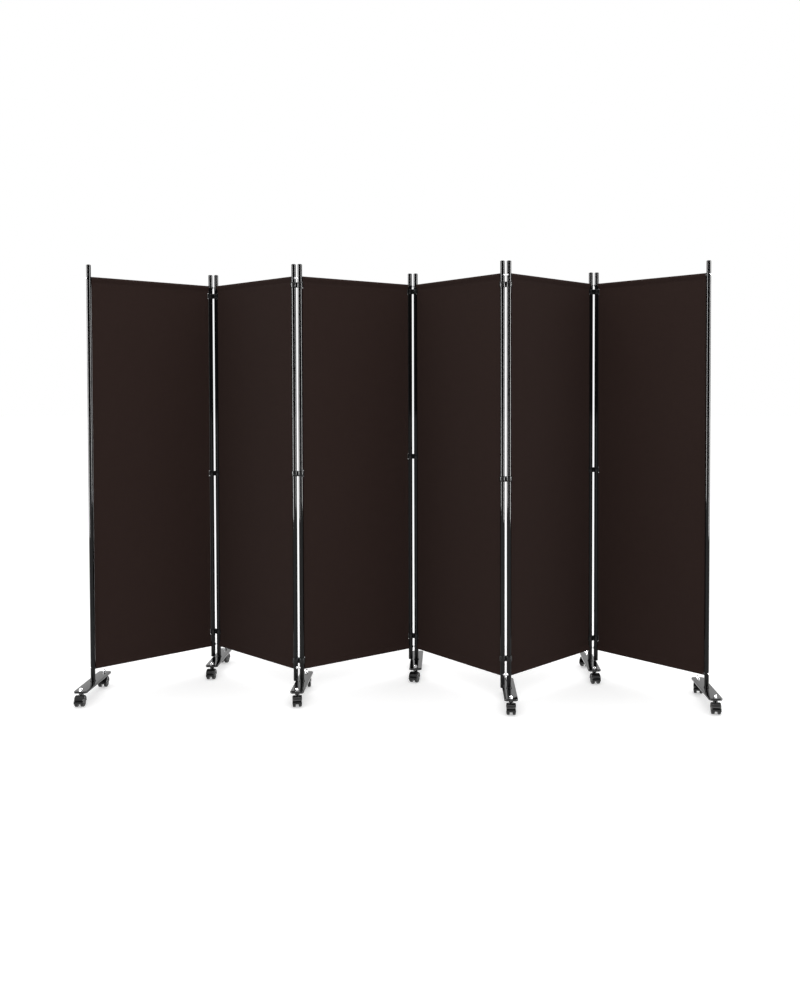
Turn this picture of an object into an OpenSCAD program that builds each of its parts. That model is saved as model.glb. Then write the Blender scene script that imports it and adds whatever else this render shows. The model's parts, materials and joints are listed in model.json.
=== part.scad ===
// Rolling room divider: six fabric panels that fold in a zigzag on double ring clips, on feet with casters
// Lengths in millimetres, angles in degrees, +Z up, the front towards -Y, the panels in a row along X

/* [Screen] */
// Distance between the two post axes of one panel
panel_w = 545; // [400:1:650]
// Height of the fabric from its lower to its upper edge
fabric_h = 1666; // [1400:1:1900]
// Bare tube between a post's lower end and the fabric
post_below = 47; // [35:1:80]
// Bare tube between the fabric and a post's upper end
post_above = 47; // [35:1:80]
// Length of the lower tube of a post, up to its joint
lower_tube_l = 852; // [700:1:1000]

/* [Zigzag at rest] */
// Direction of panel 1, seen from above
turn_1 = 39.5; // [30:0.5:48]
// Direction of panel 2
turn_2 = -40; // [-48:0.5:-30]
// Direction of panel 3
turn_3 = 34.5; // [30:0.5:48]
// Direction of panel 4
turn_4 = -47; // [-50:0.5:-30]
// Direction of panel 5
turn_5 = 43.5; // [30:0.5:48]
// Direction of panel 6
turn_6 = -43; // [-48:0.5:-30]

/* [Posts and rails] */
// Outside diameter of the post tubes
post_d = 19; // [17:0.1:20]
// Wall of the post tubes
post_wall = 1.2; // [0.9:0.1:1.6]
// Outside diameter of the rails
rail_d = 12.7; // [12:0.1:14]
// Wall of the rails
rail_wall = 1; // [0.8:0.1:1.4]
// Length of the sleeve inside a post's joint
coupler_l = 120; // [80:1:160]
// Height of the domed cap on a post
cap_h = 4; // [3:0.1:6]
// Diameter of the bolts that hold the rails
rail_bolt_d = 6; // [5:0.1:6.4]
// Diameter of their domed heads
rail_head_d = 11.5; // [10:0.1:12.5]
// Height of their domed heads
rail_head_h = 3.4; // [2.8:0.1:3.5]

/* [Fabric] */
// Thickness of the cloth
cloth_t = 1.5; // [1:0.1:2.5]
// Thickness of the cloth around the rails
pocket_wall = 1; // [0.8:0.1:1.6]
// Clearance between a rail and its pocket
pocket_gap = 0.4; // [0.3:0.1:1]
// Gap between the cloth's side edge and the post
edge_gap = 1; // [0.6:0.1:1.6]
// Room left around a clip where the cloth is cut back
notch_gap = 1.5; // [1:0.1:3]

/* [Clips] */
// Open gap between the posts of two neighbouring panels
post_gap = 7.5; // [7.4:0.1:12]
// Wall of a clip's rings
ring_wall = 3.2; // [2.5:0.1:4]
// Height of a clip
clip_h = 22; // [16:0.5:26]
// Thickness of the web between a clip's two rings
web_t = 8; // [5:0.5:12]
// Radial clearance of a ring on its post
ring_fit = 0.08; // [0.04:0.01:0.1]

/* [Feet] */
// Length of a foot
foot_l = 275; // [240:1:320]
// Width of a foot
foot_w = 56; // [46:1:58]
// Depth of a foot's turned down edge
skirt_h = 8; // [7:0.5:12]
// Thickness of a foot's sheet
foot_t = 2.5; // [2:0.1:3]
// Radius of a foot's corners
foot_corner = 12; // [8:0.5:18]
// Distance from a caster's stem to the end of the foot
stem_inset = 14.5; // [12:0.5:20]
// Height of the spacer between a foot and its post
spacer_h = 3; // [2.5:0.1:5]
// Diameter of the spacer
spacer_d = 23; // [21:0.5:28]
// Diameter of the bolt that holds a foot to its post
foot_bolt_d = 8; // [6:0.1:8.5]

/* [Casters] */
// Diameter of the wheels
wheel_d = 42; // [36:0.5:50]
// Width of one wheel
wheel_w = 13.2; // [10:0.1:16]
// Thickness of the housing's middle wall
rib_t = 9.8; // [8.5:0.1:12]
// Thickness of the hood over the wheels
hood_t = 3.2; // [2:0.1:4]
// How far the stem stands clear between the hood's neck and the foot's lower edge
stem_show = 4; // [2:0.5:8]
// How far the neck rises above the hood
neck_rise = 2.5; // [1:0.5:5]
// Distance from the swivel axis to the axle
trail = 15; // [10:0.5:18]
// Diameter of the axle
axle_d = 5; // [4:0.1:6]
// Diameter of the threaded part of the stem
stem_d = 8; // [7:0.1:9]
// Diameter of the part of the stem inside the housing
pin_d = 6; // [5:0.1:6.4]

/* [Hidden] */
$fn = 64;
panels = 6;

// clearances of fits that are shared
turn_fit = 0.05;
slide_in_fit = 0.05;
bolt_hole_gap = 0.2;
rest_gap = 0.1;
// how far a cut reaches past the face it opens
cut_over = 1;

// caster, from the floor up
axle_z = wheel_d / 2;
well_gap = 1.3;
well_r = axle_z + well_gap;
hood_r = well_r + hood_t;
neck_r = 9;
neck_top = axle_z + hood_r + neck_rise;
rib_gap = 0.7;
wheel_in = rib_t / 2 + rib_gap;
wheel_out = wheel_in + wheel_w;
hood_over = 0.7;
hood_half = wheel_out + hood_over;
hub_wall = 6;
hub_r = axle_d / 2 + hub_wall;
axle_short = 1.2;
hood_skirt = 3;
tread_crown = 0.8;
tread_in_edge = 2;
tread_in_rise = 1;
tread_out_edge = 2.2;
tread_out_rise = 1.5;
face_dish = 1.2;
face_slope = 1;
boss_wall = 4;
pin_over_axle = 3.5;
pin_low = axle_z + axle_d / 2 + pin_over_axle;
collar_step = 3;
collar_r = stem_d / 2 + collar_step;
collar_gap = 0.5;

// foot
foot_top = neck_top + stem_show + skirt_h;
sheet_low = foot_top - foot_t;
stem_y = foot_l / 2 - stem_inset;
nut_step = 5;
nut_flats = stem_d + nut_step;
nut_r = nut_flats / 2 / cos(30);
nut_hex_h = stem_d * 0.8;
nut_dome_h = nut_flats / 2;
nut_wall = 2;
nut_chamfer = 0.4;
thread_over = 1;
head_step = 5;
head_clear = 0.5;
foot_head_flats = foot_bolt_d + head_step;
foot_head_h = min(skirt_h - foot_t - head_clear, foot_bolt_d * 0.65);

// post, from the foot up
post_r = post_d / 2;
bore_r = post_r - post_wall;
post_low = foot_top + spacer_h;
joint_z = post_low + lower_tube_l;
fabric_low = post_low + post_below;
fabric_top = fabric_low + fabric_h;
post_top = fabric_top + post_above;
insert_l = 22;
plug_clear = 1;
plug_edge = 0.4;
plug_dome_h = spacer_h - plug_clear;
cap_plug_l = 16;
cap_edge = 1;
coupler_wall = 1.3;
collar_line = 1;

// rails sit in the middle of the pockets
pocket_r = rail_d / 2 + pocket_gap + pocket_wall;
rail_zs = [fabric_low + pocket_r, fabric_top - pocket_r];
rail_insert_l = 18;
rail_end = post_r + rest_gap;

// cloth between the posts
cloth_side = post_r + edge_gap;

// clips
pitch = post_d + post_gap;
ring_r = post_r + ring_fit + ring_wall;
// Heights of the clips at the five folds, as they have slid on the posts
clip_top_drop = [47, 37, 32, 47, 37];
clip_middle_rise = [-1, 29, 79, 14, 19];
clip_low_rise = [69, 39, 59, 74, 54];
function clip_heights(fold) = [
    fabric_top - clip_top_drop[fold - 1],
    joint_z + clip_middle_rise[fold - 1],
    fabric_low + clip_low_rise[fold - 1]
];

// plan of the zigzag
turns = [turn_1, turn_2, turn_3, turn_4, turn_5, turn_6];
function ray(a) = [cos(a), sin(a)];
function fold_turn(fold) = (turns[fold - 1] + turns[fold]) / 2;
function left_post(k) = k == 1 ? [0, 0] : right_post(k - 1) + pitch * ray(fold_turn(k - 1));
function right_post(k) = left_post(k) + panel_w * ray(turns[k - 1]);

// the first five feet carry their panel's left post, the last two the right posts of the last two panels
feet = 7;
function foot_post(n) = n <= 5 ? left_post(n) : right_post(n - 1);
function has_foot(k, right) = right ? k >= 5 : k <= 5;

// how far each caster has swivelled from pointing forward
front_swivel = [6, 2, 10, -17, -3, 6, -9];
rear_swivel = [7, -8, 6, -8, 4, -28, -16];

// the origin is on the floor, in the middle of the outline
caster_reach = trail + hood_r;
function caster_low_y(n, swivel) = -caster_reach * cos(swivel) - hood_half * abs(sin(swivel));
front_y = min([for (n = [1 : feet]) foot_post(n)[1] - stem_y + caster_low_y(n, front_swivel[n - 1])]);
rear_y = max([for (n = [1 : feet]) foot_post(n)[1]]) + foot_l / 2;
middle = [(foot_post(1)[0] + foot_post(feet)[0]) / 2, (front_y + rear_y) / 2];

// Places a panel's own frame: X from its left post to its right post
module at_panel(k) {
    p = left_post(k) - middle;
    translate([p[0], p[1], 0]) rotate([0, 0, turns[k - 1]]) children();
}

// Places a fold's own frame: X from the post on its left to the post on its right
module at_fold(fold) {
    p = right_post(fold) - middle;
    translate([p[0], p[1], 0]) rotate([0, 0, fold_turn(fold)]) children();
}

// Places a foot's own frame: its post on the Z axis, its rear end towards +Y
module at_foot(n) {
    p = foot_post(n) - middle;
    translate([p[0], p[1], 0]) children();
}

// Places a caster's own frame: the swivel on the Z axis, the axle towards +X
module at_caster(n, side) {
    swivel = side < 0 ? front_swivel[n - 1] : rear_swivel[n - 1];
    at_foot(n) translate([0, side * stem_y, 0]) rotate([0, 0, swivel - 90]) children();
}

module pipe(r, wall, z0, z1) {
    translate([0, 0, z0]) difference() {
        cylinder(r = r, h = z1 - z0);
        translate([0, 0, -cut_over]) cylinder(r = r - wall, h = z1 - z0 + 2 * cut_over);
    }
}

module along_x(r, x0, x1) {
    translate([x0, 0, 0]) rotate([0, 90, 0]) cylinder(r = r, h = x1 - x0);
}

module along_y(r, y0, y1) {
    translate([0, y1, 0]) rotate([90, 0, 0]) cylinder(r = r, h = y1 - y0);
}

// Two tubes on one axis, drilled across for the rail bolts
module post() {
    hole_r = rail_bolt_d / 2 + bolt_hole_gap;
    difference() {
        pipe(post_r, post_wall, post_low, joint_z - collar_line / 2);
        translate([0, 0, rail_zs[0]]) along_x(hole_r, -post_d, post_d);
    }
    difference() {
        pipe(post_r, post_wall, joint_z + collar_line / 2, post_top);
        translate([0, 0, rail_zs[1]]) along_x(hole_r, -post_d, post_d);
    }
}

// A rail reaches from post to post, its ends shaped to the tubes
module rail(z) {
    difference() {
        translate([0, 0, z]) along_x(rail_d / 2, 0, panel_w);
        translate([0, 0, z]) along_x(rail_d / 2 - rail_wall, -cut_over, panel_w + cut_over);
        for (x = [0, panel_w]) translate([x, 0, z - rail_d]) cylinder(r = rail_end, h = 2 * rail_d);
    }
}

module frame(k) {
    color([0.03, 0.03, 0.03]) at_panel(k) {
        post();
        translate([panel_w, 0, 0]) post();
        for (z = rail_zs) rail(z);
    }
}

// The cloth is cut back around each clip
module notches(fold, x) {
    notch_h = clip_h + 2 * notch_gap;
    for (z = clip_heights(fold)) translate([x, 0, z - notch_h / 2])
        cylinder(r = ring_r + notch_gap, h = notch_h);
}

module fabric(k) {
    color([0.17, 0.13, 0.12]) at_panel(k) difference() {
        union() {
            translate([cloth_side, -cloth_t / 2, rail_zs[0]])
                cube([panel_w - 2 * cloth_side, cloth_t, rail_zs[1] - rail_zs[0]]);
            for (z = rail_zs) translate([0, 0, z]) along_x(pocket_r, cloth_side, panel_w - cloth_side);
        }
        for (z = rail_zs) translate([0, 0, z]) along_x(rail_d / 2 + pocket_gap, 0, panel_w);
        if (k > 1) notches(k - 1, 0);
        if (k < panels) notches(k, panel_w);
    }
}

// A domed bolt from the outside of a post into the rail, and the threaded plug that takes it
module rail_bolt(z) {
    shank_r = rail_bolt_d / 2;
    head_x = -post_r - rest_gap;
    translate([head_x, 0, z]) rotate([0, -90, 0]) rotate_extrude() intersection() {
        scale([rail_head_d / 2, rail_head_h]) circle(r = 1);
        square([rail_head_d / 2, rail_head_h]);
    }
    translate([0, 0, z]) along_x(shank_r, head_x, rail_end + rail_insert_l);
    translate([0, 0, z]) difference() {
        along_x(rail_d / 2 - rail_wall - slide_in_fit, 0, rail_end + rail_insert_l);
        along_x(shank_r + slide_in_fit, -cut_over, rail_end + rail_insert_l + cut_over);
        translate([0, 0, -rail_d]) cylinder(r = rail_end, h = 2 * rail_d);
    }
}

// Domed cap with a plug that sits in the tube's upper end
module cap() {
    translate([0, 0, post_top]) rotate_extrude() polygon(concat(
        [[0, -cap_plug_l], [bore_r - slide_in_fit, -cap_plug_l], [bore_r - slide_in_fit, 0], [post_r, 0]],
        [for (a = [0 : 15 : 90]) [post_r * cos(a), cap_edge + (cap_h - cap_edge) * sin(a)]]
    ));
}

// Sleeve inside the joint of a post, with a thin collar between the two tubes
module coupler() {
    sleeve_r = bore_r - slide_in_fit;
    translate([0, 0, joint_z]) rotate_extrude() polygon([
        [sleeve_r - coupler_wall, -coupler_l / 2],
        [sleeve_r, -coupler_l / 2],
        [sleeve_r, -collar_line / 2],
        [post_r, -collar_line / 2],
        [post_r, collar_line / 2],
        [sleeve_r, collar_line / 2],
        [sleeve_r, coupler_l / 2],
        [sleeve_r - coupler_wall, coupler_l / 2]
    ]);
}

// Threaded insert, spacer and bolt that hold a foot under its post
module foot_fixing() {
    shank_r = foot_bolt_d / 2;
    pipe(bore_r - slide_in_fit, bore_r - 2 * slide_in_fit - shank_r, post_low, post_low + insert_l);
    pipe(spacer_d / 2, spacer_d / 2 - shank_r - slide_in_fit, foot_top + rest_gap, post_low);
    head_top = sheet_low - rest_gap;
    translate([0, 0, head_top - foot_head_h])
        cylinder(r = foot_head_flats / 2 / cos(30), h = foot_head_h, $fn = 6);
    translate([0, 0, head_top]) cylinder(r = shank_r, h = post_low + insert_l - head_top);
}

// Rounded plug in the lower end of a post that has no foot
module end_plug() {
    translate([0, 0, post_low]) rotate_extrude() polygon(concat(
        [[0, insert_l], [bore_r - slide_in_fit, insert_l], [bore_r - slide_in_fit, 0], [post_r, 0]],
        [for (a = [0 : 15 : 90]) [post_r * cos(a), -plug_edge - (plug_dome_h - plug_edge) * sin(a)]]
    ));
}

module post_fittings(k, right) {
    cap();
    coupler();
    for (z = rail_zs) rail_bolt(z);
    if (has_foot(k, right)) foot_fixing();
    else end_plug();
}

module fittings(k) {
    color([0.6, 0.6, 0.62]) at_panel(k) {
        post_fittings(k, false);
        translate([panel_w, 0, 0]) mirror([1, 0, 0]) post_fittings(k, true);
    }
}

// Two rings side by side, joined by a web
module clip(z) {
    translate([0, 0, z - clip_h / 2]) difference() {
        union() {
            for (x = [0, pitch]) translate([x, 0, 0]) cylinder(r = ring_r, h = clip_h);
            translate([0, -web_t / 2, 0]) cube([pitch, web_t, clip_h]);
        }
        for (x = [0, pitch]) translate([x, 0, -cut_over])
            cylinder(r = post_r + ring_fit, h = clip_h + 2 * cut_over);
    }
}

module clips(fold) {
    color([0.05, 0.05, 0.05]) at_fold(fold) for (z = clip_heights(fold)) clip(z);
}

module rounded_plate(l, w, corner, h) {
    linear_extrude(h) union() {
        square([w - 2 * corner, l], center = true);
        square([w, l - 2 * corner], center = true);
        for (x = [-1, 1], y = [-1, 1])
            translate([x * (w / 2 - corner), y * (l / 2 - corner)]) circle(r = corner);
    }
}

// Pressed plate with a turned down edge
module foot_plate() {
    difference() {
        translate([0, 0, foot_top - skirt_h]) rounded_plate(foot_l, foot_w, foot_corner, skirt_h);
        translate([0, 0, foot_top - skirt_h - cut_over])
            rounded_plate(foot_l - 2 * foot_t, foot_w - 2 * foot_t, foot_corner - foot_t,
                skirt_h - foot_t + cut_over);
        translate([0, 0, sheet_low - cut_over])
            cylinder(r = foot_bolt_d / 2 + turn_fit, h = foot_t + 2 * cut_over);
        for (side = [-1, 1]) translate([0, side * stem_y, sheet_low - cut_over])
            cylinder(r = stem_d / 2 + slide_in_fit, h = foot_t + 2 * cut_over);
    }
}

// A caster's stem stays with the foot: pin in the housing, collar under the sheet, thread in the nut
module stem() {
    thread_top = foot_top + nut_hex_h + thread_over;
    rotate_extrude() polygon([
        [0, pin_low],
        [pin_d / 2, pin_low],
        [pin_d / 2, neck_top + collar_gap],
        [collar_r, neck_top + collar_gap],
        [collar_r, sheet_low],
        [stem_d / 2, sheet_low],
        [stem_d / 2, thread_top],
        [0, thread_top]
    ]);
}

// Domed nut on top of the foot
module dome_nut() {
    thread_r = stem_d / 2 + slide_in_fit;
    dome_r = nut_flats / 2 - nut_chamfer;
    translate([0, 0, foot_top]) difference() {
        union() {
            cylinder(r = nut_r, h = nut_hex_h, $fn = 6);
            translate([0, 0, nut_hex_h]) rotate_extrude() polygon(concat(
                [[0, 0]],
                [for (a = [0 : 15 : 90]) [dome_r * cos(a), nut_dome_h * sin(a)]]
            ));
        }
        translate([0, 0, -cut_over]) cylinder(r = thread_r, h = cut_over + nut_hex_h + nut_wall);
    }
}

module foot(n) {
    color([0.04, 0.04, 0.04]) at_foot(n) {
        foot_plate();
        for (side = [-1, 1]) translate([0, side * stem_y, 0]) {
            stem();
            dome_nut();
        }
    }
}

// Hood over both wheels, middle wall down to the axle and neck around the stem
module caster_housing() {
    difference() {
        union() {
            intersection() {
                translate([trail, 0, axle_z]) along_y(hood_r, -hood_half, hood_half);
                translate([trail - hood_r - cut_over, -hood_half - cut_over, axle_z - hood_skirt])
                    cube([2 * (hood_r + cut_over), 2 * (hood_half + cut_over),
                        hood_r + hood_skirt + cut_over]);
            }
            translate([0, 0, axle_z + axle_d]) cylinder(r = neck_r, h = neck_top - axle_z - axle_d);
            translate([trail, 0, axle_z]) along_y(hub_r, -rib_t / 2, rib_t / 2);
        }
        translate([trail, 0, axle_z]) {
            along_y(well_r, rib_t / 2, hood_half + cut_over);
            along_y(well_r, -hood_half - cut_over, -rib_t / 2);
            along_y(axle_d / 2 + slide_in_fit, -rib_t, rib_t);
        }
        translate([0, 0, pin_low - cut_over]) cylinder(r = pin_d / 2 + turn_fit, h = neck_top);
    }
}

module axle() {
    translate([trail, 0, axle_z]) along_y(axle_d / 2, -wheel_out + axle_short, wheel_out - axle_short);
}

module caster(n, side) {
    color([0.08, 0.08, 0.08]) at_caster(n, side) {
        caster_housing();
        axle();
    }
}

// A wheel with a crowned tread and a dished outer face
module wheel() {
    tread_r = wheel_d / 2;
    dish_r = tread_r * 0.72;
    boss_r = axle_d / 2 + boss_wall;
    rotate([90, 0, 0]) rotate_extrude() polygon([
        [axle_d / 2 + turn_fit, wheel_in],
        [tread_r - tread_in_edge, wheel_in],
        [tread_r - tread_crown, wheel_in + tread_in_rise],
        [tread_r, wheel_in + wheel_w * 0.35],
        [tread_r, wheel_in + wheel_w * 0.65],
        [tread_r - tread_crown, wheel_out - tread_out_rise],
        [tread_r - tread_out_edge, wheel_out],
        [dish_r, wheel_out],
        [dish_r - face_slope, wheel_out - face_dish],
        [boss_r + face_slope, wheel_out - face_dish],
        [boss_r, wheel_out],
        [axle_d / 2 + turn_fit, wheel_out]
    ]);
}

module wheels(n, side) {
    color([0.1, 0.1, 0.1]) at_caster(n, side) translate([trail, 0, axle_z]) {
        wheel();
        mirror([0, 1, 0]) wheel();
    }
}

frame(1);  // frame_1
frame(2);  // frame_2
frame(3);  // frame_3
frame(4);  // frame_4
frame(5);  // frame_5
frame(6);  // frame_6
fabric(1);  // fabric_1
fabric(2);  // fabric_2
fabric(3);  // fabric_3
fabric(4);  // fabric_4
fabric(5);  // fabric_5
fabric(6);  // fabric_6
fittings(1);  // fittings_1
fittings(2);  // fittings_2
fittings(3);  // fittings_3
fittings(4);  // fittings_4
fittings(5);  // fittings_5
fittings(6);  // fittings_6
clips(1);  // clips_1
clips(2);  // clips_2
clips(3);  // clips_3
clips(4);  // clips_4
clips(5);  // clips_5
foot(1);  // foot_1
foot(2);  // foot_2
foot(3);  // foot_3
foot(4);  // foot_4
foot(5);  // foot_5
foot(6);  // foot_6
foot(7);  // foot_7
caster(1, -1);  // front_caster_1
caster(2, -1);  // front_caster_2
caster(3, -1);  // front_caster_3
caster(4, -1);  // front_caster_4
caster(5, -1);  // front_caster_5
caster(6, -1);  // front_caster_6
caster(7, -1);  // front_caster_7
caster(1, 1);  // rear_caster_1
caster(2, 1);  // rear_caster_2
caster(3, 1);  // rear_caster_3
caster(4, 1);  // rear_caster_4
caster(5, 1);  // rear_caster_5
caster(6, 1);  // rear_caster_6
caster(7, 1);  // rear_caster_7
wheels(1, -1);  // front_wheels_1
wheels(2, -1);  // front_wheels_2
wheels(3, -1);  // front_wheels_3
wheels(4, -1);  // front_wheels_4
wheels(5, -1);  // front_wheels_5
wheels(6, -1);  // front_wheels_6
wheels(7, -1);  // front_wheels_7
wheels(1, 1);  // rear_wheels_1
wheels(2, 1);  // rear_wheels_2
wheels(3, 1);  // rear_wheels_3
wheels(4, 1);  // rear_wheels_4
wheels(5, 1);  // rear_wheels_5
wheels(6, 1);  // rear_wheels_6
wheels(7, 1);  // rear_wheels_7
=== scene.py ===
import json
import math

import bmesh
import bpy
import numpy as np
from mathutils import Matrix, Vector
from mathutils.geometry import tessellate_polygon


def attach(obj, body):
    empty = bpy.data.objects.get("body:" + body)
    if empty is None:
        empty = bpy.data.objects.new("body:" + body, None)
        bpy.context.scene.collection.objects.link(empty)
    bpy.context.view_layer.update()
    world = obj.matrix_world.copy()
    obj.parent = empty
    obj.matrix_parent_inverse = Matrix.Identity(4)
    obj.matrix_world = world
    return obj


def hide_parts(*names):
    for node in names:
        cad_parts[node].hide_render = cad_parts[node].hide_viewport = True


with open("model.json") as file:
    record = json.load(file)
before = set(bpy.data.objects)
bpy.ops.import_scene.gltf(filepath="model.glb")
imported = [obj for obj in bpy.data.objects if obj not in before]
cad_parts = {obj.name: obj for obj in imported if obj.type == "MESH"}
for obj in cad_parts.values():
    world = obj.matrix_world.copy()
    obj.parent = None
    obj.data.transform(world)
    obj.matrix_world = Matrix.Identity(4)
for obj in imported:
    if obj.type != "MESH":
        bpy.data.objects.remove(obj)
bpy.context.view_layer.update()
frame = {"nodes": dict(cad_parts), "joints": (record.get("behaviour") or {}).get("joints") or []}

scene = bpy.context.scene
joint = {entry["name"]: entry for entry in frame["joints"]}
mm = 0.001


def jointSpot(name):
    return Vector(joint[name]["pos_m"])


# Which joint stands on each panel's left and right post, and on both posts of each fold
panelPosts = {
    1: ("foot_1_turn", "panel_1_turn"),
    2: ("foot_2_turn", "panel_2_turn"),
    3: ("foot_3_turn", "clips_3_turn"),
    4: ("foot_4_turn", "clips_4_turn"),
    5: ("foot_5_turn", "foot_6_turn"),
    6: ("panel_6_turn", "foot_7_turn"),
}
foldPosts = {
    1: ("panel_1_turn", "clips_1_turn"),
    2: ("panel_2_turn", "clips_2_turn"),
    3: ("clips_3_turn", "panel_4_turn"),
    4: ("clips_4_turn", "panel_5_turn"),
    5: ("clips_5_turn", "panel_6_turn"),
}

# Heights above the floor, in metres
level = {
    "skirtLow": 0.053,
    "footTop": 0.061,
    "postLow": 0.064,
    "fabricLow": 0.111,
    "lowRail": 0.11875,
    "postJoint": 0.916,
    "highRail": 1.76925,
    "fabricTop": 1.777,
    "postTop": 1.824,
    "capTop": 1.828,
}


def standingFrame(origin, toward):
    # a frame on the floor at origin, with its X axis pointing the way of toward
    x = Vector((toward.x, toward.y, 0)).normalized()
    return Matrix(((x.x, -x.y, 0, origin.x), (x.y, x.x, 0, origin.y), (0, 0, 1, 0), (0, 0, 0, 1)))


def postsFrame(posts):
    left, right = (jointSpot(name) for name in posts)
    return standingFrame(left, right - left)


def footFrame(n):
    return standingFrame(jointSpot(f"foot_{n}_turn"), Vector((1, 0, 0)))


def casterFrame(side, n):
    stem = jointSpot(f"{side}_caster_{n}_swivel")
    return standingFrame(stem, jointSpot(f"{side}_wheels_{n}_roll") - stem)


panelWidth = (jointSpot("panel_1_turn") - jointSpot("foot_1_turn")).xy.length
foldWidth = (jointSpot("clips_1_turn") - jointSpot("panel_1_turn")).xy.length


# mesh helpers

def turned(rows, segments=48):
    # A closed solid turned round Z; a row is (radius, height) or (half width, height, share of a hexagon)
    points, rings = [], []
    for row in rows:
        radius, height = row[0], row[1]
        if radius == 0:
            rings.append([len(points)])
            points.append((0, 0, height))
            continue
        ring = []
        for i in range(segments):
            angle = 2 * math.pi * i / segments
            r = radius
            if len(row) > 2:
                r = radius / math.cos((angle + math.pi / 6) % (math.pi / 3) - math.pi / 6)
                r = r + (radius - r) * (1 - row[2])
            ring.append(len(points))
            points.append((r * math.cos(angle), r * math.sin(angle), height))
        rings.append(ring)
    return points, bands(rings, closed=len(rings[0]) > 1)


def bands(rings, closed=False):
    # Faces between neighbouring rings of points; a ring of one point is a pole
    faces = []
    pairs = list(zip(rings, rings[1:]))
    if closed:
        pairs.append((rings[-1], rings[0]))
    for low, high in pairs:
        n = max(len(low), len(high))
        for i in range(n):
            j = (i + 1) % n
            if len(low) == 1:
                faces.append((low[0], high[j], high[i]))
            elif len(high) == 1:
                faces.append((low[i], low[j], high[0]))
            else:
                faces.append((low[i], low[j], high[j], high[i]))
    return faces


def offsetLoop(loop, distance):
    # Moves a closed plane loop to its left by distance
    pts = np.array(loop, float)
    before, after = np.roll(pts, 1, 0), np.roll(pts, -1, 0)
    a = pts - before
    b = after - pts
    a /= np.linalg.norm(a, axis=1)[:, None]
    b /= np.linalg.norm(b, axis=1)[:, None]
    normalA = np.stack([-a[:, 1], a[:, 0]], 1)
    normalB = np.stack([-b[:, 1], b[:, 0]], 1)
    middle = normalA + normalB
    middle /= np.linalg.norm(middle, axis=1)[:, None]
    stretch = 1 / np.maximum((middle * normalA).sum(1), 0.5)
    return pts + middle * (distance * stretch)[:, None]


def holeLoop(x, y, radius, count):
    # A circle run clockwise, as a hole's loop has to
    angles = [-2 * math.pi * i / count for i in range(count)]
    return [(x + radius * math.cos(a), y + radius * math.sin(a)) for a in angles]


def roundedSlab(loops, low, high, rounding, steps=3):
    # A flat plate from an outer loop and hole loops, with rounded edges above and below
    arc = [math.pi / 2 * i / steps for i in range(steps + 1)]
    rows = [(rounding * (1 - math.sin(t)), low + rounding * (1 - math.cos(t))) for t in arc]
    rows += [(rounding * (1 - math.cos(t)), high - rounding * (1 - math.sin(t))) for t in arc]
    return plateFromRows(loops, rows)


def plateFromRows(loops, rows):
    # Walls through rows of (offset, height), then a face over the first row and one over the last
    points, faces, firsts, lasts = [], [], [], []
    for loop in loops:
        rings = []
        for offset, height in rows:
            ring = []
            for x, y in offsetLoop(loop, offset):
                ring.append(len(points))
                points.append((x, y, height))
            rings.append(ring)
        faces += bands(rings)
        firsts.append(rings[0])
        lasts.append(rings[-1])
    for ends, flip in ((firsts, True), (lasts, False)):
        index = [i for ring in ends for i in ring]
        for tri in tessellate_polygon([[Vector(points[i]) for i in ring] for ring in ends]):
            a, b, c = (Vector(points[index[i]]) for i in tri)
            up = (b - a).cross(c - a).z > 0
            face = tuple(index[i] for i in tri)
            faces.append(face if up != flip else face[::-1])
    return points, faces


def placed(part, matrix):
    points, faces = part
    array = np.array(points, float)
    m = np.array(matrix)
    return (array @ m[:3, :3].T + m[:3, 3]).tolist(), faces


def joined(parts):
    points, faces = [], []
    for partPoints, partFaces in parts:
        start = len(points)
        points += [tuple(p) for p in partPoints]
        faces += [tuple(i + start for i in face) for face in partFaces]
    return points, faces


def inScene(name, data):
    made = bpy.data.objects.new(name, data)
    scene.collection.objects.link(made)
    return made


def smoothPiece(name, mesh, sharpAngle):
    # Shaded smooth, but for the edges where two faces meet at more than the angle, in degrees
    mesh.polygons.foreach_set("use_smooth", [True] * len(mesh.polygons))
    mesh.set_sharp_from_angle(angle=math.radians(sharpAngle))
    mesh.update()
    return inScene(name, mesh)


def makePiece(name, part, material, sharpAngle=32):
    points, faces = part
    mesh = bpy.data.meshes.new(name)
    mesh.from_pydata([tuple(p) for p in points], [], faces)
    mesh.materials.append(material)
    return smoothPiece(name, mesh, sharpAngle)


def cadIslands(nodeName):
    # The separate solids of a CAD node, as merged copies: (part, lowest corner, highest corner)
    work = bmesh.new()
    work.from_mesh(frame["nodes"][nodeName].data)
    bmesh.ops.remove_doubles(work, verts=work.verts, dist=1e-6)
    seen, islands = set(), []
    for start in work.verts:
        if start in seen:
            continue
        stack, members = [start], []
        seen.add(start)
        while stack:
            vert = stack.pop()
            members.append(vert)
            for edge in vert.link_edges:
                other = edge.other_vert(vert)
                if other not in seen:
                    seen.add(other)
                    stack.append(other)
        index = {vert: i for i, vert in enumerate(members)}
        faces = {face for vert in members for face in vert.link_faces}
        points = [tuple(vert.co) for vert in members]
        faceLists = sorted(tuple(index[v] for v in face.verts) for face in faces)
        array = np.array(points)
        islands.append(((points, faceLists), array.min(0), array.max(0)))
    work.free()
    return islands


# node helpers

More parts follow.
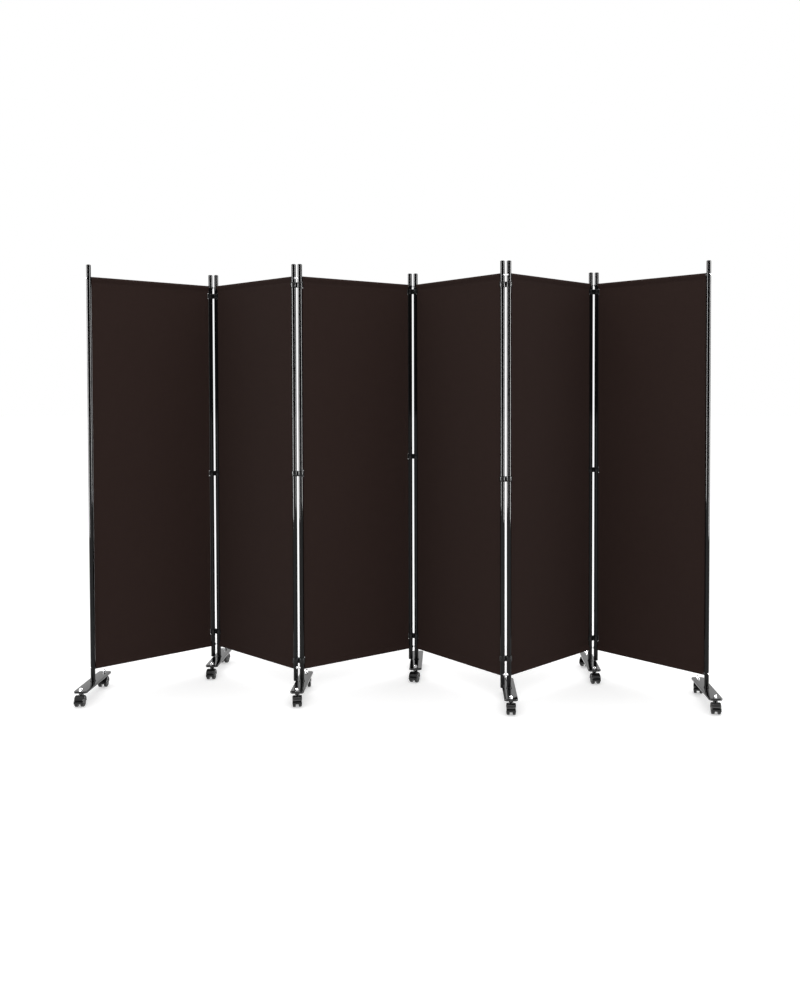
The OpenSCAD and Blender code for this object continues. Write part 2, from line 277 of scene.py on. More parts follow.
class NodeWork:
    # A node tree under construction: adds nodes and wires them

    def __init__(self, tree):
        self.tree = tree

    def feed(self, socket, value):
        # Value is another node's output, a colour without its alpha or what the socket takes
        if isinstance(value, bpy.types.NodeSocket):
            self.tree.links.new(value, socket)
        elif socket.type == "RGBA":
            socket.default_value = (*value, 1)
        else:
            socket.default_value = value

    def node(self, kind, inputs=None, **settings):
        made = self.tree.nodes.new(kind)
        for key, value in settings.items():
            setattr(made, key, value)
        for key, value in (inputs or {}).items():
            self.feed(made.inputs[key], value)
        return made

    def math(self, operation, a, b=0.0, c=0.0):
        return self.node("ShaderNodeMath", {0: a, 1: b, 2: c}, operation=operation).outputs[0]

    def spread(self, value, low, high, fromLow=0.3, fromHigh=0.7, curve="LINEAR"):
        inputs = {"Value": value, 1: fromLow, 2: fromHigh, 3: low, 4: high}
        return self.node("ShaderNodeMapRange", inputs, interpolation_type=curve).outputs[0]

    def rays(self):
        # 1 or 0 for a ray from the eye, for one mirrored in gloss and for either of them
        path = self.node("ShaderNodeLightPath").outputs
        eye = self.math("MAXIMUM", path["Is Camera Ray"], path["Is Transmission Ray"])
        gloss = path["Is Glossy Ray"]
        return eye, gloss, self.math("MAXIMUM", eye, gloss)


class Recipe(NodeWork):
    # A material under construction

    def __init__(self, name):
        self.material = bpy.data.materials.new(name)
        self.material.use_nodes = True
        super().__init__(self.material.node_tree)
        self.shader = self.tree.nodes["Principled BSDF"]
        self.place = self.node("ShaderNodeTexCoord").outputs["Object"]

    def noise(self, scale, detail, roughness=0.55, place=None, stretch=None):
        source = place or self.place
        if stretch:
            source = self.node("ShaderNodeMapping", {"Vector": source, "Scale": stretch}).outputs[0]
        inputs = {"Vector": source, "Scale": scale, "Detail": detail, "Roughness": roughness}
        return self.node("ShaderNodeTexNoise", inputs).outputs["Fac"]

    def blend(self, share, first, second):
        return self.node("ShaderNodeMix", {0: share, 6: first, 7: second}, data_type="RGBA").outputs[2]

    def bump(self, height, distance, strength, after=None):
        inputs = {"Height": height, "Distance": distance, "Strength": strength}
        if after:
            inputs["Normal"] = after
        return self.node("ShaderNodeBump", inputs).outputs[0]

    def set(self, **inputs):
        for key, value in inputs.items():
            self.feed(self.shader.inputs[key.replace("_", " ")], value)
        return self.material


# materials
clothLook = {
    "color": (0.0250, 0.0149, 0.0128),
    "worn": (0.0305, 0.0192, 0.0166),
    "stitch": (0.030, 0.021, 0.018),
    "threadPitch": 0.9 * mm,
    "slubAlong": 14.0,  # noise scales along a yarn and across it
    "slubAcross": 1100.0,
    "cloudScale": 2.3,
    "weaveDepth": 0.16 * mm,
    "fuzzDepth": 0.08 * mm,
    "fuzzScale": 2600.0,
    "twistDepth": 0.05 * mm,
    "twistScale": 900.0,
    "specular": 0.01,
    "sheen": 0.01,
}


def clothMaterial():
    # Plain weave read from the cloth's own flat map, in metres along the width and along the strip
    look = clothLook
    r = Recipe("wovenCloth")
    flat = r.node("ShaderNodeUVMap", uv_map="flat").outputs[0]
    split = r.node("ShaderNodeSeparateXYZ", {0: flat})
    turn = math.pi / look["threadPitch"]
    across = r.math("SINE", r.math("MULTIPLY", split.outputs[0], turn))
    up = r.math("SINE", r.math("MULTIPLY", split.outputs[1], turn))
    over = r.math("MULTIPLY", across, up)
    ridges = r.math("MULTIPLY_ADD", r.math("ABSOLUTE", across), 0.5, r.math("ABSOLUTE", up))
    fine, long = look["slubAcross"], look["slubAlong"]
    slubUp = r.noise(1.0, 2.0, place=flat, stretch=(fine, long, 1.0))
    slubAcross = r.noise(1.0, 2.0, place=flat, stretch=(long, fine, 1.0))
    slub = r.math("ADD", slubUp, slubAcross)
    cloud = r.noise(look["cloudScale"], 4.0, 0.6)
    shade = r.math("MULTIPLY_ADD", over, 0.10, r.spread(slub, 0.15, 0.65, 0.8, 1.2))
    shade = r.math("MULTIPLY_ADD", cloud, 0.35, r.math("SUBTRACT", shade, 0.17))
    color = r.blend(shade, look["color"], look["worn"])
    height = r.math("MULTIPLY_ADD", over, 0.55, r.math("MULTIPLY", ridges, 0.45))
    weave = r.bump(height, look["weaveDepth"], 0.75)
    fuzz = r.bump(r.noise(look["fuzzScale"], 2.0), look["fuzzDepth"], 0.35, weave)
    return r.set(
        Base_Color=color,
        Roughness=r.spread(slub, 0.82, 0.96, 0.8, 1.2),
        Normal=fuzz,
        Specular_IOR_Level=look["specular"],
        Sheen_Weight=look["sheen"],
        Sheen_Roughness=0.6,
    )


def stitchMaterial():
    r = Recipe("sewingThread")
    twist = r.noise(clothLook["twistScale"], 2.0)
    color = r.blend(r.spread(twist, 0.0, 1.0), clothLook["stitch"], clothLook["worn"])
    normal = r.bump(twist, clothLook["twistDepth"], 0.5)
    return r.set(Base_Color=color, Roughness=0.62, Normal=normal, Specular_IOR_Level=0.1)


# dustShare is how much of the paint is dusty at most; gloss is the index of refraction
paintLook = {
    "color": (0.0030, 0.0030, 0.0032),
    "dust": (0.012, 0.0115, 0.011),
    "peelDepth": 0.01 * mm,
    "peelScale": 420.0,
    "dustScale": 60.0,
    "hairStretch": (2200.0, 2200.0, 26.0),
    "haze": (0.035, 0.075),
    "tube": {"dustShare": 0.15, "gloss": 1.27},
    "foot": {"dustShare": 0.35, "gloss": 1.5},
}


def paintMaterial(name, dustShare, gloss):
    # Gloss black stove paint: faint orange peel, hairline wear and a little dust
    r = Recipe(name)
    look = paintLook
    peel = r.noise(look["peelScale"], 2.0, 0.4)
    dust = r.noise(look["dustScale"], 5.0, 0.7)
    hair = r.noise(1.0, 3.0, 0.6, stretch=look["hairStretch"])
    wear = r.math("MULTIPLY", r.spread(dust, 0.0, 1.0, 0.45, 0.75), dustShare)
    haze = r.spread(r.noise(9.0, 4.0, 0.6), *look["haze"])
    return r.set(
        Base_Color=r.blend(wear, look["color"], look["dust"]),
        Roughness=r.math("ADD", haze, r.spread(hair, 0.0, 0.04, 0.55, 0.75)),
        Normal=r.bump(peel, look["peelDepth"], 0.35),
        IOR=gloss,
    )


# roughness runs from fresh to worn; grain is the depth of the moulded texture
plasticBlack = {"color": (0.0050, 0.0050, 0.0052), "dust": (0.012, 0.0118, 0.0112)}
plasticLook = {
    "fitting": {**plasticBlack, "roughness": (0.22, 0.34), "grain": 0.02 * mm, "gloss": 1.3},
    "hood": {**plasticBlack, "roughness": (0.06, 0.14), "grain": 0.008 * mm, "gloss": 1.42},
    "wheel": {
        "color": (0.0075, 0.0075, 0.0080), "dust": (0.030, 0.0285, 0.0265),
        "roughness": (0.12, 0.24), "grain": 0.015 * mm, "gloss": 1.45,
    },
}


def plasticMaterial(name, color, dust, roughness, grain, gloss):
    # Moulded plastic: fine spark grain, duller where it is handled
    r = Recipe(name)
    speck = r.noise(1500.0, 2.0, 0.5)
    worn = r.noise(42.0, 5.0, 0.65)
    return r.set(
        Base_Color=r.blend(r.spread(worn, 0.0, 0.5, 0.45, 0.8), color, dust),
        Roughness=r.math("ADD", r.spread(worn, *roughness), r.spread(speck, -0.03, 0.03)),
        Normal=r.bump(speck, grain, 0.6),
        IOR=gloss,
    )


steelLook = {
    "plated": {"color": (0.70, 0.70, 0.71), "roughness": (0.07, 0.16)},
    "dull": {"color": (0.42, 0.42, 0.43), "roughness": (0.3, 0.45)},
    "markDepth": 0.01 * mm,
    "markStretch": (260.0, 260.0, 3400.0),
    "stainScale": 130.0,
    "stainDark": 0.6,
}


def steelMaterial(name, color, roughness):
    # Steel with turning marks and small stains
    r = Recipe(name)
    marks = r.noise(1.0, 3.0, 0.6, stretch=steelLook["markStretch"])
    stain = r.noise(steelLook["stainScale"], 4.0, 0.6)
    stained = tuple(steelLook["stainDark"] * c for c in color)
    shade = r.blend(r.spread(stain, 0.0, 0.5, 0.5, 0.8), color, stained)
    return r.set(
        Base_Color=shade,
        Metallic=1.0,
        Roughness=r.math("ADD", r.spread(stain, *roughness), r.spread(marks, 0.0, 0.07)),
        Normal=r.bump(marks, steelLook["markDepth"], 0.4),
    )


cloth = clothMaterial()
thread = stitchMaterial()
tubePaint = paintMaterial("tubePaint", **paintLook["tube"])
footPaint = paintMaterial("footPaint", **paintLook["foot"])
fittingPlastic = plasticMaterial("fittingPlastic", **plasticLook["fitting"])
hoodPlastic = plasticMaterial("hoodPlastic", **plasticLook["hood"])
wheelPlastic = plasticMaterial("wheelPlastic", **plasticLook["wheel"])
plated = steelMaterial("platedSteel", **steelLook["plated"])
dullSteel = steelMaterial("dullSteel", **steelLook["dull"])
print("materials ready")


# Geometry Nodes trees

class GrowTree(NodeWork):
    # A Geometry Nodes tree under construction, which puts copies of a part on points

    def __init__(self, name, inputs):
        super().__init__(bpy.data.node_groups.new(name, "GeometryNodeTree"))
        sockets = self.tree.interface
        sockets.new_socket("Geometry", in_out="INPUT", socket_type="NodeSocketGeometry")
        for label, kind, value in inputs:
            socket = sockets.new_socket(label, in_out="INPUT", socket_type=kind)
            if value is not None:
                socket.default_value = value
        sockets.new_socket("Geometry", in_out="OUTPUT", socket_type="NodeSocketGeometry")
        self.given = self.node("NodeGroupInput").outputs

    def vector(self, name):
        read = self.node("GeometryNodeInputNamedAttribute", {"Name": name}, data_type="FLOAT_VECTOR")
        return read.outputs["Attribute"]

    def copies(self, points, part, along, **scale):
        # Each copy's Z axis follows its point's facing vector, and its X axis leans towards along
        align = "FunctionNodeAlignRotationToVector"
        upright = self.node(align, {"Vector": self.vector("facing")}, axis="Z")
        inputs = {"Rotation": upright.outputs[0], "Vector": along}
        turn = self.node(align, inputs, axis="X", pivot_axis="Z")
        inputs = {"Points": points, "Instance": part, "Rotation": turn.outputs[0], **scale}
        return self.node("GeometryNodeInstanceOnPoints", inputs).outputs[0]

    def finished(self, geometry):
        # Plain geometry with its material set
        plain = self.node("GeometryNodeRealizeInstances", {0: geometry})
        inputs = {"Geometry": plain.outputs[0], "Material": self.given["Material"]}
        painted = self.node("GeometryNodeSetMaterial", inputs)
        self.node("NodeGroupOutput", {0: painted.outputs[0]})
        return self.tree


def repeatTree():
    # Puts a copy of one part on every point, turned by the point's facing and along vectors
    g = GrowTree("repeatPart", (
        ("Part", "NodeSocketObject", None),
        ("Material", "NodeSocketMaterial", None),
    ))
    part = g.node("GeometryNodeObjectInfo", {"Object": g.given["Part"]})
    return g.finished(g.copies(g.given["Geometry"], part.outputs["Geometry"], g.vector("along")))


stitchSize = {
    "step": 4.2 * mm,
    "length": 3.1 * mm,
    "width": 0.55 * mm,
    "inset": 2 * mm,  # from the cloth's side edges
    "seamRows": (1.8 * mm, 7.2 * mm),
    "hemShare": 0.8,
    "fromSeam": 11 * mm,
}


def stitchTree():
    # Lays stitches along lines: a flattened bead at every step, lying on the cloth
    g = GrowTree("stitchLine", (
        ("Step", "NodeSocketFloat", stitchSize["step"]),
        ("Stitch Length", "NodeSocketFloat", stitchSize["length"]),
        ("Thread Width", "NodeSocketFloat", stitchSize["width"]),
        ("Material", "NodeSocketMaterial", None),
    ))
    curve = g.node("GeometryNodeMeshToCurve", {"Mesh": g.given["Geometry"]})
    inputs = {"Curve": curve.outputs[0], "Length": g.given["Step"]}
    even = g.node("GeometryNodeResampleCurve", inputs, mode="LENGTH")
    bead = g.node("GeometryNodeMeshUVSphere", {"Segments": 6, "Rings": 4, "Radius": 0.5})
    width = g.given["Thread Width"]
    size = g.node("ShaderNodeCombineXYZ", {0: g.given["Stitch Length"], 1: width, 2: width})
    tangent = g.node("GeometryNodeInputTangent").outputs[0]
    return g.finished(g.copies(even.outputs[0], bead.outputs["Mesh"], tangent, Scale=size.outputs[0]))


repeatPart, stitchLine = repeatTree(), stitchTree()


def grown(name, source, tree, values, sharpAngle=32):
    # Runs a tree on a source mesh and returns the result as a plain piece
    holder = inScene(name + "Source", source)
    modifier = holder.modifiers.new("grow", "NODES")
    modifier.node_group = tree
    for item in tree.interface.items_tree:
        if item.in_out == "INPUT" and item.name in values:
            modifier[item.identifier] = values[item.name]
    holder.update_tag()
    bpy.context.view_layer.update()
    evaluated = holder.evaluated_get(bpy.context.evaluated_depsgraph_get())
    mesh = bpy.data.meshes.new_from_object(evaluated)
    mesh.name = name
    for attribute in [a.name for a in mesh.attributes if a.name in ("facing", "along")]:
        mesh.attributes.remove(mesh.attributes[attribute])
    bpy.data.objects.remove(holder)
    return smoothPiece(name, mesh, sharpAngle)


def giveVectors(mesh, label, vectors):
    layer = mesh.attributes.new(label, "FLOAT_VECTOR", "POINT")
    layer.data.foreach_set("vector", [c for vector in vectors for c in vector])


def spots(name, rows):
    # A mesh of loose points, one from each row of (place, facing, along)
    places, facing, along = zip(*rows)
    mesh = bpy.data.meshes.new(name)
    mesh.from_pydata(places, [], [])
    giveVectors(mesh, "facing", facing)
    giveVectors(mesh, "along", along)
    return mesh


def lines(name, paths):
    # A mesh of open lines, one from each pair of (points, facing)
    mesh = bpy.data.meshes.new(name)
    points, edges, facing = [], [], []
    for path, out in paths:
        start = len(points)
        points += [tuple(p) for p in path]
        facing += [out] * len(path)
        edges += [(start + i, start + i + 1) for i in range(len(path) - 1)]
    mesh.from_pydata(points, edges, [])
    giveVectors(mesh, "facing", facing)
    return mesh


def repeated(name, template, rows, material):
    part = makePiece(name + "Part", template, material)
    values = {"Part": part, "Material": material}
    piece = grown(name, spots(name + "Spots", rows), repeatPart, values)
    bpy.data.objects.remove(part)
    return piece


# cloth
clothSize = {
    "side": 10.5 * mm,  # from a post's axis to the cloth's side edge
    "thickness": 1.2 * mm,
    "hem": 10 * mm,
    "hemThickness": 1.9 * mm,
    "railRadius": 6.35 * mm,
    "railGap": 0.05 * mm,
    "layerGap": 0.1 * mm,
    "lowSeam": 135.5 * mm,
    "highSeam": 1752.5 * mm,
    "lap": 9 * mm,
    "lapPath": ((1, 1), (1, 0.4), (0.95, 0)),  # shares of the lap's distance from the panel and its length
    "pocketPath": ((0.42, 0.62), (0.10, 0.90)),  # shares of the pocket's radius and of the way to the seam
    "notchDepth": 3.8 * mm,
    "notchHeight": 25 * mm,
    "notchSlope": 0.9 * mm,
    "pullReach": 30 * mm,  # how far from its side edge the cloth gives at a notch or a clip
    "pullFade": 1.5,
    "rowSpan": (120 * mm, 1760 * mm),
    "rowStep": 18.5 * mm,
    "rowClear": 1 * mm,  # from a seam to the nearest row
    "stillEdge": 2 * mm,  # beside a seam, without ripples
    "notchRows": (-4, -1.2, -0.5, 0, 0.5, 1.2, 4),  # in mm from each end of a notch
    "hemColumns": (0, 0.25, 0.5, 0.85, 1, 1.15, 1.8, 3),  # in hems from each side edge
    "columns": 22,
    "waveDepth": 0.55 * mm,
    "waveAcross": (9.1, 1.7),  # radians for each metre of width and for each panel
    "waveUp": (2.1, 0.9),
    "waveFine": (23, 1.3, 3.1),  # for each metre of width, metre of height and panel
    "waveFade": 120 * mm,
    "tugReach": 30 * mm,
    "tugWave": 210,
}
# Each fold's clips, in mm: below the cloth's top, above the posts' joint, above the cloth's foot
clipDrop = {1: (47, -1, 69), 2: (37, 29, 39), 3: (32, 79, 59), 4: (47, 14, 74), 5: (37, 19, 54)}


def clipHeights(fold):
    top, middle, low = clipDrop[fold]
    return (level["fabricTop"] - top * mm, level["postJoint"] + middle * mm, level["fabricLow"] + low * mm)


def pocketPath(rail, seam, sign):
    # From the lap's end down its back, round the rail and up to the seam; sign is 1 below and -1 above
    t, lap = clothSize["thickness"], clothSize["lap"]
    radius = clothSize["railRadius"] + t / 2 + clothSize["railGap"]
    away, reach = t + clothSize["layerGap"], abs(seam - rail)
    lean = math.asin(radius / reach)
    path = [(away * out, seam + sign * share * lap) for out, share in clothSize["lapPath"]]
    for a in np.linspace(-lean, math.pi + lean, 19):
        path.append((radius * math.cos(a), rail - sign * radius * math.sin(a)))
    for inward, share in clothSize["pocketPath"]:
        path.append((-radius * inward, rail + sign * reach * share))
    return path


def clothPath(rows):
    # The strip of cloth seen from its edge, from lap to lap: (offset from the panel's plane, height)
    low, high, clear = clothSize["lowSeam"], clothSize["highSeam"], clothSize["rowClear"]
    heights = [low, *(h for h in rows if low + clear < h < high - clear), high]
    lower = pocketPath(level["lowRail"], low, 1)
    upper = pocketPath(level["highRail"], high, -1)
    return lower + [(0.0, h) for h in heights] + upper[::-1]


def notchShare(height, centres):
    # 1 inside a notch, 0 outside, with steep ends
    half, slope = clothSize["notchHeight"] / 2, clothSize["notchSlope"]
    shares = (min(max((half - abs(height - c)) / slope + 0.5, 0), 1) for c in centres)
    return max(shares, default=0.0)


def clothRows(notches):
    # Heights of the mesh's rows, closer together at each end of a notch
    rows = set(np.arange(*clothSize["rowSpan"], clothSize["rowStep"]).round(5))
    half = clothSize["notchHeight"] / 2
    for centre in notches:
        for end in (centre - half, centre + half):
            rows |= {round(float(end + d * mm), 5) for d in clothSize["notchRows"]}
    return sorted(rows)


def clothColumns(width):
    # Places of the mesh's columns, closer together at the hems
    edge = [share * clothSize["hem"] for share in clothSize["hemColumns"]]
    inner = np.linspace(edge[-1], width - edge[-1], clothSize["columns"])[1:-1]
    return [*edge, *inner, *(width - e for e in reversed(edge))]


def tug(height, clips):
    # The cloth's small waves beside each clip
    reach, wave = clothSize["tugReach"], clothSize["tugWave"]
    return sum(math.exp(-((height - c) / reach) ** 2) * math.sin((height - c) * wave) for c in clips)


def ripple(k, u, height, tugs):
    across, up, fine = clothSize["waveAcross"], clothSize["waveUp"], clothSize["waveFine"]
    ends = (height - clothSize["lowSeam"], clothSize["highSeam"] - height)
    fade = min(*(end / clothSize["waveFade"] for end in ends), 1)
    slow = math.sin(across[0] * u + across[1] * k) * math.sin(up[0] * height + up[1] * k)
    slow += 0.5 * math.sin(fine[0] * u + fine[2] * k + fine[1] * height)
    return clothSize["waveDepth"] * (fade * slow + 0.5 * tugs)


def clothSheet(k):
    leftClips = clipHeights(k - 1) if k > 1 else ()
    rightClips = clipHeights(k) if k < 6 else ()
    path = clothPath(clothRows((*leftClips, *rightClips)))
    width = panelWidth - 2 * clothSize["side"]
    hem, thin = clothSize["hem"], clothSize["thickness"] / clothSize["hemThickness"]
    columns = clothColumns(width)
    length = np.cumsum([0, *(math.dist(a, b) for a, b in zip(path, path[1:]))])
    matrix = postsFrame(panelPosts[k])
    reach, fade, still = clothSize["pullReach"], clothSize["pullFade"], clothSize["stillEdge"]
    points, flat, thick = [], [], []
    for (offset, height), along in zip(path, length):
        inside = clothSize["lowSeam"] + still < height < clothSize["highSeam"] - still
        onPanel = inside and offset == 0
        cuts = [clothSize["notchDepth"] * notchShare(height, clips) for clips in (leftClips, rightClips)]
        for u in columns:
            near, far = (1 - min(gap / reach, 1) for gap in (u, width - u))
            x = u + cuts[0] * near**fade - cuts[1] * far**fade
            n = offset
            if onPanel:
                n += ripple(k, u, height, tug(height, leftClips) * near + tug(height, rightClips) * far)
            points.append(matrix @ Vector((clothSize["side"] + x, n, height)))
            flat.append((x, along))
            onHem = min(u, width - u) <= hem * 1.001
            thick.append(1.0 if onHem and onPanel else thin)
    count = len(columns)
    faces = [
        (r * count + c, r * count + c + 1, (r + 1) * count + c + 1, (r + 1) * count + c)
        for r in range(len(path) - 1) for c in range(count - 1)
    ]
    piece = makePiece(f"cloth_{k}", (points, faces), cloth, 60)
    uv = piece.data.uv_layers.new(name="flat")
    for loop in piece.data.loops:
        uv.data[loop.index].uv = flat[loop.vertex_index]
    group = piece.vertex_groups.new(name="thick")
    for value in set(thick):
        group.add([i for i, t in enumerate(thick) if t == value], value, "REPLACE")
    wall = piece.modifiers.new("thickness", "SOLIDIFY")
    wall.thickness = clothSize["hemThickness"]
    wall.offset = 0
    wall.vertex_group = "thick"
    return piece, (width, float(length[-1]))


def clothStitches(k):
    # Two rows through each pocket seam and one down each side hem, on both faces
    matrix = postsFrame(panelPosts[k])
    back = (matrix.to_3x3() @ Vector((0, 1, 0))).normalized()
    low, high = clothSize["side"], panelWidth - clothSize["side"]
    t, inset = clothSize["thickness"], stitchSize["inset"]
    paths = []
    for seam, sign in ((clothSize["lowSeam"], 1), (clothSize["highSeam"], -1)):
        for step in stitchSize["seamRows"]:
            for offset, out in ((-t / 2, -1), (1.5 * t + clothSize["layerGap"], 1)):
                across = np.linspace(low + inset, high - inset, 13)
                path = [matrix @ Vector((x, offset, seam + sign * step)) for x in across]
                paths.append((path, back * out))
    hemRow, fromSeam = clothSize["hem"] * stitchSize["hemShare"], stitchSize["fromSeam"]
    heights = np.linspace(clothSize["lowSeam"] + fromSeam, clothSize["highSeam"] - fromSeam, 60)
    for x in (low + hemRow, high - hemRow):
        for out in (-1, 1):
            offset = out * clothSize["hemThickness"] / 2
            paths.append(([matrix @ Vector((x, offset, z)) for z in heights], back * out))
    source = lines(f"stitchLines{k}", paths)
    return grown(f"stitches_{k}", source, stitchLine, {"Material": thread}, 60)


for k in range(1, 7):
    sheet, flatSize = clothSheet(k)
    stitches = clothStitches(k)
    for piece in (sheet, stitches):
        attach(piece, f"panel_{k}")
    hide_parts(f"fabric_{k}")
print("cloths hung")


# posts: caps, bolts, sleeves
fitting = {
    "postRadius": 9.5 * mm,
    "plugRadius": 8.2 * mm,
    "plugLength": 16 * mm,
    "capFlange": 1.0 * mm,
    "capEdge": 0.25 * mm,
    "capStep": 0.3 * mm,
    "plugWide": (18.5 * mm, 20 * mm),  # the CAD node's solids are told apart by their width and height
    "insertWide": 22 * mm,
    "slack": 0.5 * mm,  # past a level
    "insertBore": 4.1 * mm,
    "insertRadius": 8.2 * mm,
    "spacerEdge": 0.4 * mm,
    "headRadius": 5.3 * mm,
    "headHeight": 3.4 * mm,
    "headSunk": 1.9 * mm,
    "headRim": 0.25 * mm,
    "headGap": 0.1 * mm,
    "domeSweep": 78,
    "socketHalf": 2.0 * mm,
    "socketDepth": 2.0 * mm,
}


def offRows(radius, height, steps):
    # A radius and a height, each changed by the steps in millimetres; a third number is kept as it is
    return [(radius + dr * mm, height + dz * mm, *share) for dr, dz, *share in steps]


def arcRows(radius, low, high, steps=8):
    # A quarter of an ellipse that ends on the axis
    angles = [math.pi / 2 * i / steps for i in range(steps)]
    return [(radius * math.cos(a), low + (high - low) * math.sin(a)) for a in angles] + [(0, high)]


def capPart():
    r, plug, low = fitting["postRadius"], fitting["plugRadius"], -fitting["plugLength"]
    edge, step, flange = fitting["capEdge"], fitting["capStep"], fitting["capFlange"]
    rows = [(0, low), *offRows(plug, low, ((-0.2, 0), (0, 1))), (plug, 0.0)]
    rows += [(r - edge, 0.0), (r, edge), (r, flange), (r - step, flange + edge)]
    return turned(rows + arcRows(r - 2 * step, flange + step, level["capTop"] - level["postTop"]))


def boltPart():
    # Button head with a hexagon socket, its axis along Z, base at zero
    f = fitting
    r, h, sunk, rim, s = f["headRadius"], f["headHeight"], f["headSunk"], f["headRim"], f["socketHalf"]
    sweep = math.radians(f["domeSweep"])
    rows = [(0, -sunk), (r - 0.7 * mm, -sunk), *offRows(r, 0, ((-0.7, -0.1), (-0.2, 0))), (r, rim)]
    for a in np.linspace(0, sweep, 8)[1:-1]:
        rows.append((r * math.cos(a), rim + (h - rim) * math.sin(a) / math.sin(sweep)))
    floor = h - f["socketDepth"]
    rows += offRows(s, h, ((0.75, 0), (0.35, -0.02), (0, -0.25, 1)))
    return turned(rows + [(s, floor, 1), (0, floor - 0.5 * mm)])


def ringPart(inner, outer, low, high, edge=0.2 * mm):
    rim = [(outer - edge, low), (outer, low + edge), (outer, high - edge), (outer - edge, high)]
    return turned([(inner, low), *rim, (inner, high)])


def sortedFittings(k):
    # What sits inside the tubes keeps its CAD shape; a foot's threaded insert gets a black spacer of its own
    f = fitting
    dark, steel, rings = [], [], []
    for part, low, high in cadIslands(f"fittings_{k}"):
        wide = high[0] - low[0]
        nearFloor = high[2] < level["fabricLow"]
        aboveFoot = low[2] > level["footTop"] + f["slack"]
        isPlug = aboveFoot and nearFloor and f["plugWide"][0] < wide < f["plugWide"][1]
        if isPlug or high[2] > level["postTop"] + f["slack"]:
            continue
        if low[2] < level["postJoint"] < high[2]:
            rings.append(part)
        elif nearFloor and wide > f["insertWide"]:
            spot = Matrix.Translation((*((low + high) / 2)[:2], 0))
            spacer = ringPart(f["insertBore"], wide / 2, low[2], level["postLow"], f["spacerEdge"])
            insert = ringPart(f["insertBore"], f["insertRadius"], level["postLow"], high[2])
            dark.append(placed(spacer, spot))
            steel.append(placed(insert, spot))
        else:
            steel.append(part)
    return dark, steel, rings


def panelFittings(k):
    matrix = postsFrame(panelPosts[k])
    along = (matrix.to_3x3() @ Vector((1, 0, 0))).normalized()
    caps, bolts = [], []
    for side, x in ((0, 0.0), (1, panelWidth)):
        spot = matrix @ Matrix.Translation((x, 0, 0))
        caps.append(placed(capPart(), spot @ Matrix.Translation((0, 0, level["postTop"]))))
        if not panelPosts[k][side].startswith("foot"):
            flip = Matrix.Rotation(math.pi, 4, "X") @ Matrix.Scale(0.5, 4, (0, 0, 1))
            caps.append(placed(capPart(), spot @ Matrix.Translation((0, 0, level["postLow"])) @ flip))
        out = along * (1 if side else -1)
        for rail in (level["lowRail"], level["highRail"]):
            place = spot @ Vector((0, 0, rail)) + out * (fitting["postRadius"] + fitting["headGap"])
            bolts.append((place, out, (0, 0, 1)))
    dark, steel, rings = sortedFittings(k)
    for piece, name in (
        (makePiece(f"caps_{k}", joined(caps + dark), fittingPlastic), "clips"),
        (makePiece(f"inner_fixings_{k}", joined(steel), dullSteel), "fittings"),
        (makePiece(f"joint_rings_{k}", joined(rings), tubePaint), "frame"),
        (repeated(f"rail_bolts_{k}", boltPart(), bolts, plated), "fittings"),
    ):
        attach(piece, f"panel_{k}")
        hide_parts(f"fittings_{k}")


for k in range(1, 7):
    panelFittings(k)
    slots = frame["nodes"][f"frame_{k}"].data.materials
    slots.clear()
    slots.append(tubePaint)
print("posts fitted")


# clips
clip = {
    "ringRadius": 12.78 * mm,
    "bore": 9.58 * mm,
    "height": 22 * mm,
    "web": 8 * mm,
    "rounding": 1.3 * mm,
    "ringSteps": 26,
    "hollowSteps": 10,
}


def clipPart():
    # Two rings bored for the posts; a hollow from ring to ring on each side leaves the web between them
    ring, half, middle = clip["ringRadius"], clip["web"] / 2, foldWidth / 2
    hollow = (middle**2 + half**2 - ring**2) / (2 * (ring - half))
    centre = half + hollow
    touch = math.atan2(centre, middle)
    count, sides = clip["ringSteps"], clip["hollowSteps"]
    upper = [(ring * math.cos(a), ring * math.sin(a)) for a in np.linspace(math.pi, touch, count)]
    for a in np.linspace(math.pi + touch, 2 * math.pi - touch, sides)[1:-1]:
        upper.append((middle + hollow * math.cos(a), centre + hollow * math.sin(a)))
    for a in np.linspace(math.pi - touch, 0, count):
        upper.append((foldWidth + ring * math.cos(a), ring * math.sin(a)))
    lower = [(x, -y) for x, y in reversed(upper)][1:-1]
    outer = (upper + lower)[::-1]
    holes = [holeLoop(x, 0, clip["bore"], 48) for x in (0, foldWidth)]
    half = clip["height"] / 2
    return roundedSlab([outer, *holes], -half, half, clip["rounding"])


for fold in range(1, 6):
    matrix = postsFrame(foldPosts[fold])
    along = matrix.to_3x3() @ Vector((1, 0, 0))
    rows = [(matrix @ Vector((0, 0, z)), (0, 0, 1), along) for z in clipHeights(fold)]
    piece = repeated(f"ring_clips_{fold}", clipPart(), rows, fittingPlastic)
    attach(piece, f"clips_{fold}")
    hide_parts(f"clips_{fold}")
print("clips on")


